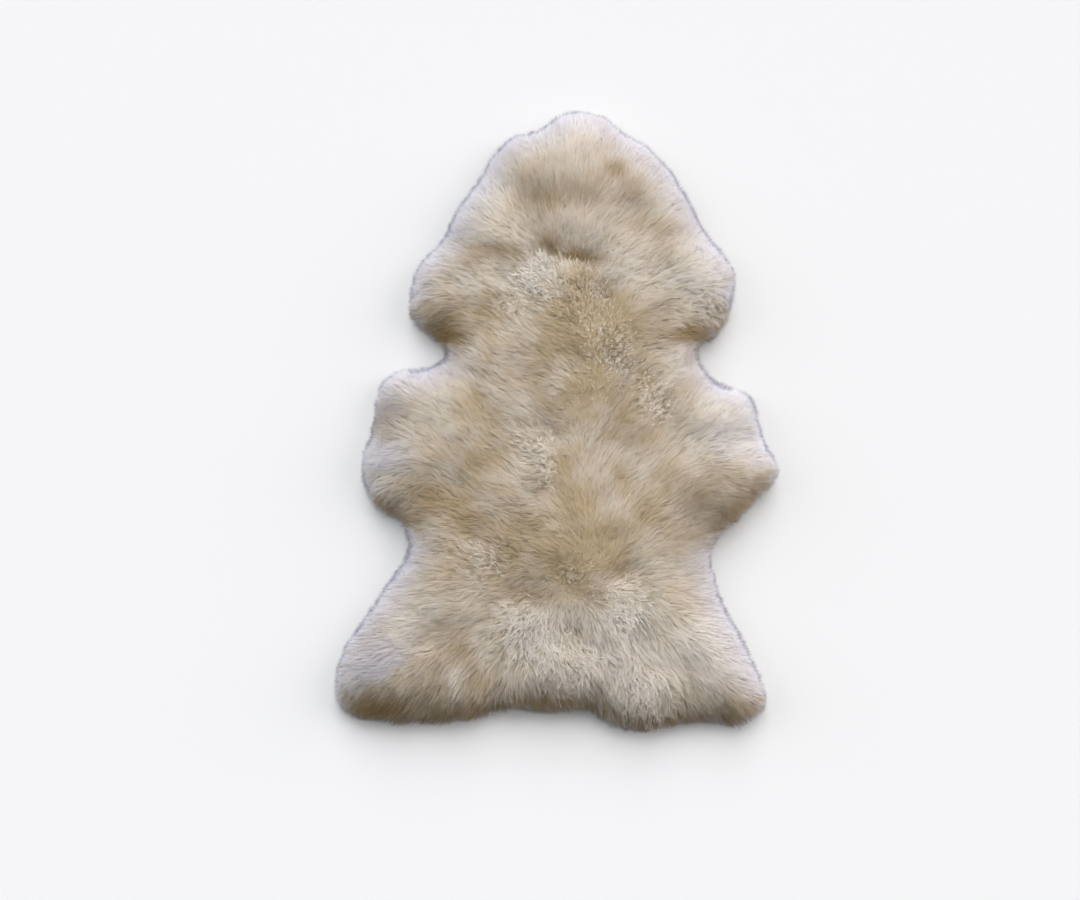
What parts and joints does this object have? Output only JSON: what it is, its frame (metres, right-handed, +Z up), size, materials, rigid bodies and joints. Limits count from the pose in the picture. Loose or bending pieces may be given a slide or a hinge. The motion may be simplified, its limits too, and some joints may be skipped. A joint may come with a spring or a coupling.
{
  "type": "sheepskin rug",
  "caption": "Whole sheepskin rug: one flat pelt in the animal's outline, with thick cream wool that rolls over at its rim in soft locks.",
  "frame": {"origin": "on the floor under the middle of the pelt, at the centre of its bounding box", "axes": "+Y runs along the back to the neck, +X to the right seen from above with the neck up, +Z up out of the floor through the wool"},
  "size_m": [0.6832, 0.9568, 0.065],
  "materials": {
    "wool": "dense cream wool, matt, on a tanned hide"
  },
  "bodies": {
    "root": {"pelt": "wool"}
  },
  "joints": []
}
